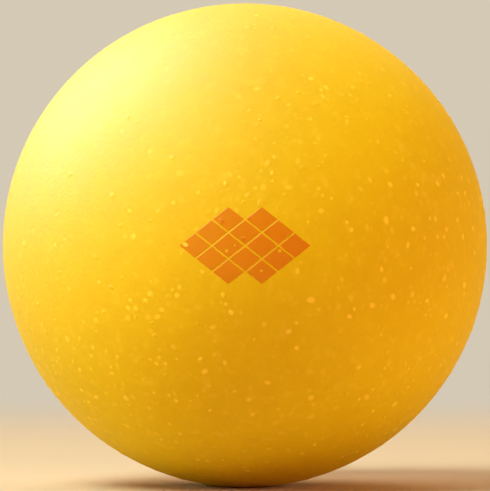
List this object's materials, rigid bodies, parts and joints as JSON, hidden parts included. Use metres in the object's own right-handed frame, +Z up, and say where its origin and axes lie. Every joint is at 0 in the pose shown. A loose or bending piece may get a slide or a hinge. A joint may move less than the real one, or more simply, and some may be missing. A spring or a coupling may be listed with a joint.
{
  "type": "foam ball",
  "caption": "Soft moulded foam ball with a smooth coloured skin in halves round a foam core, a trimmed pour stub at the back and a small pressed flat to rest on.",
  "frame": {"origin": "middle of the small flat under the ball, which is the middle of its box's bottom", "axes": "+Z up, -Y out of the printed front pole, +Y out of the pour gate at the back, X across the front"},
  "size_m": [0.07, 0.0699, 0.0699],
  "materials": {
    "skin": "satin moulded polyurethane skin, golden yellow",
    "foam": "matt open-cell polyurethane foam, pale yellow"
  },
  "bodies": {
    "root": {"front_skin": "skin", "rear_skin": "skin", "foam_core": "foam"}
  },
  "joints": []
}
